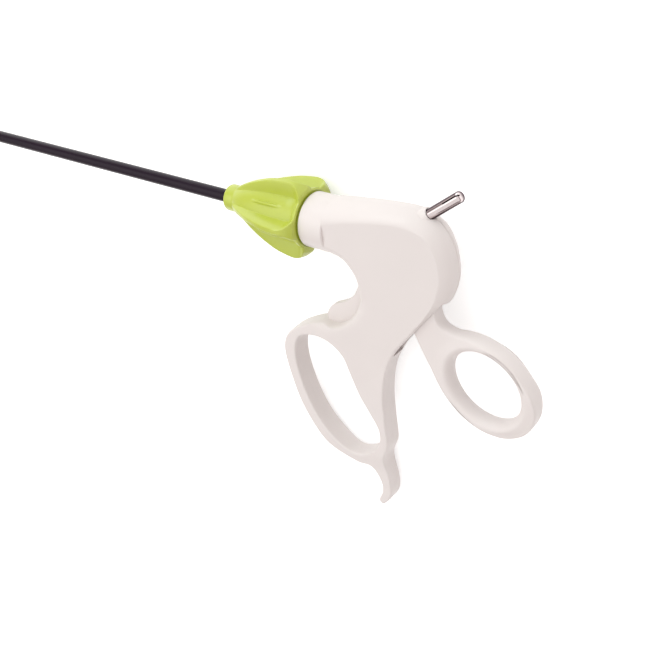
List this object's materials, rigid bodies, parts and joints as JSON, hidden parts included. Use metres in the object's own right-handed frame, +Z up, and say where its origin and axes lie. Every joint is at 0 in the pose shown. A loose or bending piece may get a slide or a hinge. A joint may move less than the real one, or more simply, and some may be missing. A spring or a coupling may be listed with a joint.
{
  "type": "monopolar laparoscopic scissors",
  "caption": "Long-shafted surgical scissors with a pistol ring handle, a winged knob that turns the shaft, an angled cord pin and a small pair of curved blades.",
  "frame": {"origin": "centre of the bounding box on the table the instrument lies on, at its right side", "axes": "+X back along the shaft from the jaws to the handle, +Y towards the cord pin side, +Z up off the table, out of the instrument's left side"},
  "size_m": [0.4718, 0.1424, 0.0304],
  "materials": {
    "housing_white": "satin moulded",
    "lever_white": "satin moulded",
    "knob_green": "smooth moulded",
    "sleeve_black": "smooth heat-shrunk sleeve",
    "steel": "fine ground",
    "blade_steel": "fine ground",
    "pin_nickel": "polished nickel",
    "hub_nylon": "moulded",
    "seal_rubber": "matt"
  },
  "bodies": {
    "handle": {"housing_left": "housing_white", "housing_right": "housing_white", "lever_pivot_pin": "steel", "connector_pin": "pin_nickel", "contact_leaf": "steel"},
    "lever": {"thumb_lever": "lever_white"},
    "shaft": {"rotation_knob": "knob_green", "shaft_hub": "hub_nylon", "knob_friction_ring": "seal_rubber", "hub_retaining_clip": "steel", "shaft_tube": "steel", "shaft_insulation": "sleeve_black", "shaft_seal": "seal_rubber", "jaw_clevis": "steel", "jaw_pivot_pin": "steel"},
    "rod": {"drive_rod": "steel", "rod_ball": "steel", "drive_yoke": "steel", "drive_pin": "steel"},
    "jaw_upper": {"blade_upper": "blade_steel"},
    "jaw_lower": {"blade_lower": "blade_steel"}
  },
  "joints": [
    {"name": "lever_hinge", "type": "hinge", "parent": "handle", "child": "lever", "pos_m": [0.18995, 0.03673, 0.01502], "axis": [0.0332, 0.0926, -0.9951], "range_deg": [0, 24]},
    {"name": "shaft_turn", "type": "hinge", "parent": "handle", "child": "shaft", "pos_m": [0.14493, 0.04818, 0.01459], "axis": [0.9994, 0, 0.0333], "continuous": true},
    {"name": "rod_pull", "type": "slide", "parent": "shaft", "child": "rod", "axis": [0.9994, 0, 0.0333], "range_m": [0, 0.00482]},
    {"name": "upper_blade_hinge", "type": "hinge", "parent": "shaft", "child": "jaw_upper", "pos_m": [-0.21936, 0.04818, 0.00244], "axis": [-0.0332, -0.0926, 0.9951], "range_deg": [0, 16]},
    {"name": "lower_blade_hinge", "type": "hinge", "parent": "shaft", "child": "jaw_lower", "pos_m": [-0.21936, 0.04818, 0.00244], "axis": [0.0332, 0.0926, -0.9951], "range_deg": [0, 16]}
  ],
  "couplings": [
    {"joint": "rod_pull", "follows": "lever_hinge", "m_per_rad": 0.0115},
    {"joint": "upper_blade_hinge", "follows": "lever_hinge", "ratio": 0.66666},
    {"joint": "lower_blade_hinge", "follows": "lever_hinge", "ratio": 0.66666}
  ]
}
